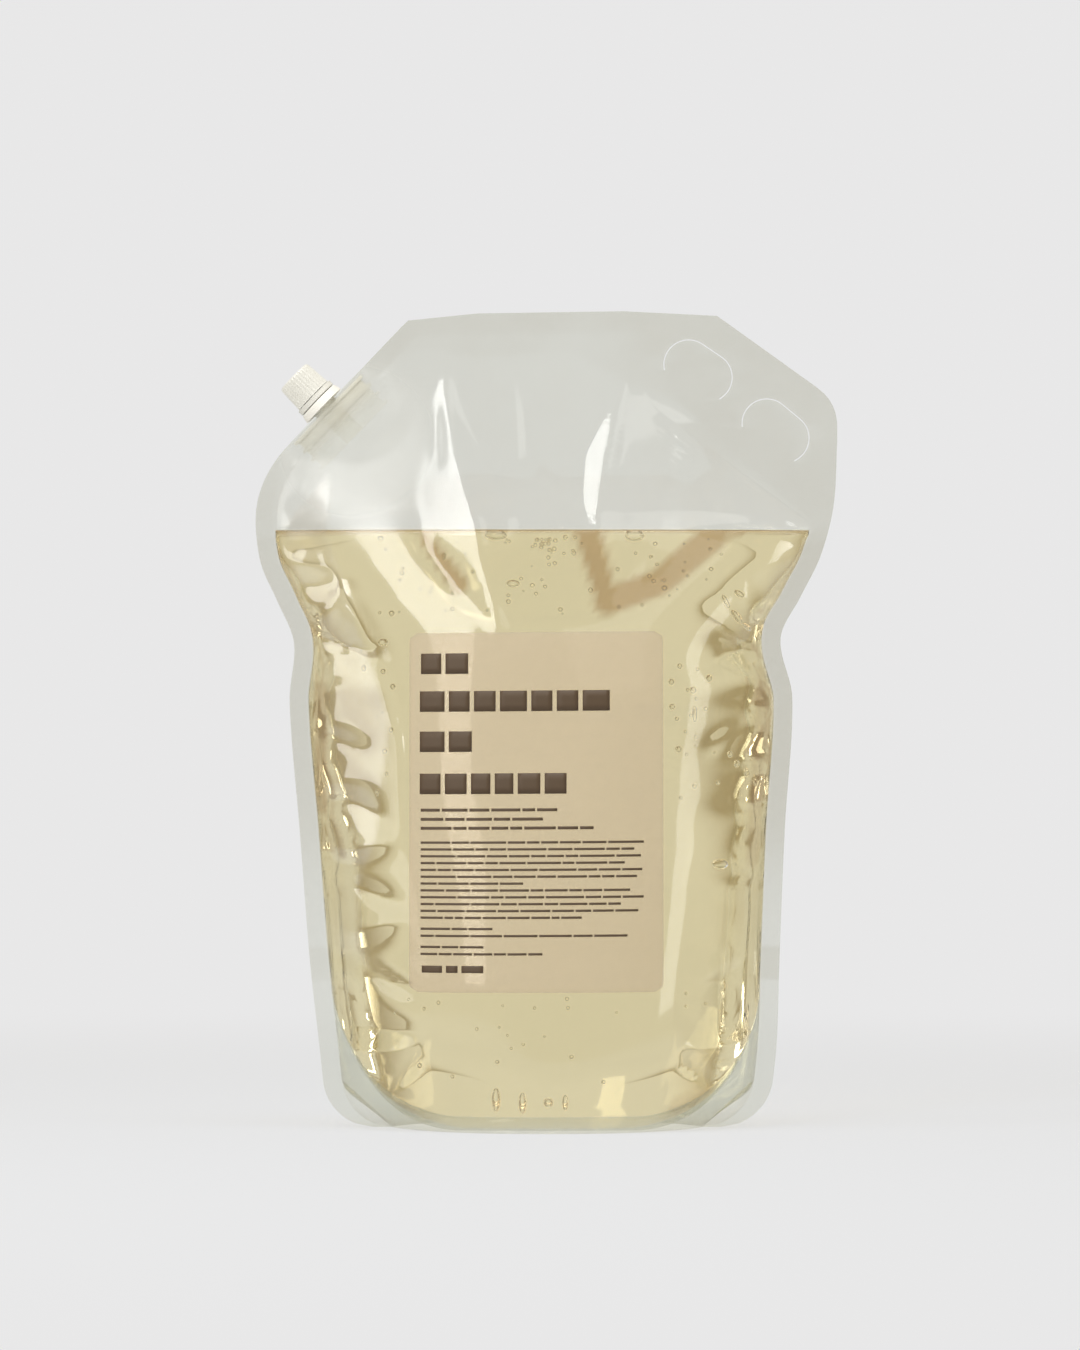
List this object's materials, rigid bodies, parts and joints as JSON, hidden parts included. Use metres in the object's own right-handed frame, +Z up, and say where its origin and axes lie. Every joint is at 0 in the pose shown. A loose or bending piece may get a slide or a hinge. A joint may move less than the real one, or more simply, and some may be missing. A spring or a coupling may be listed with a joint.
{
  "type": "shampoo refill pack",
  "caption": "Clear stand-up refill pouch of shampoo with a bottom gusset, a die-cut handle corner, a label and a slanted corner spout with a screw cap.",
  "frame": {"origin": "on the floor under the middle of the pack's outline, where the sagging gusset rests", "axes": "+Z up; -Y is the labelled front; +X is to the right as seen from the front, towards the handle corner, so the spout is at -X"},
  "size_m": [0.2174, 0.0988, 0.305],
  "materials": {
    "clear_film": "glossy clear laminate, faintly milky",
    "shampoo": "clear pale yellow liquid",
    "label_film": "translucent satin label film",
    "white_plastic": "satin moulded polyethylene, warm white"
  },
  "bodies": {
    "root": {"front_film": "clear_film", "back_film": "clear_film", "bottom_gusset": "clear_film", "shampoo_fill": "shampoo", "label": "label_film", "spout": "white_plastic"},
    "band": {"tamper_band": "white_plastic"},
    "cap": {"screw_cap": "white_plastic"}
  },
  "joints": [
    {"name": "cap_turn", "type": "hinge", "parent": "root", "child": "band", "pos_m": [-0.08286, 0, 0.26928], "axis": [-0.7187, 0, 0.6953], "range_deg": [0, 1261]},
    {"name": "cap_lift", "type": "slide", "parent": "band", "child": "cap", "axis": [-0.7187, 0, 0.6953], "range_m": [0, 0.0105]}
  ],
  "couplings": [
    {"joint": "cap_turn", "follows": "cap_lift", "rad_per_m": 2094.4}
  ]
}
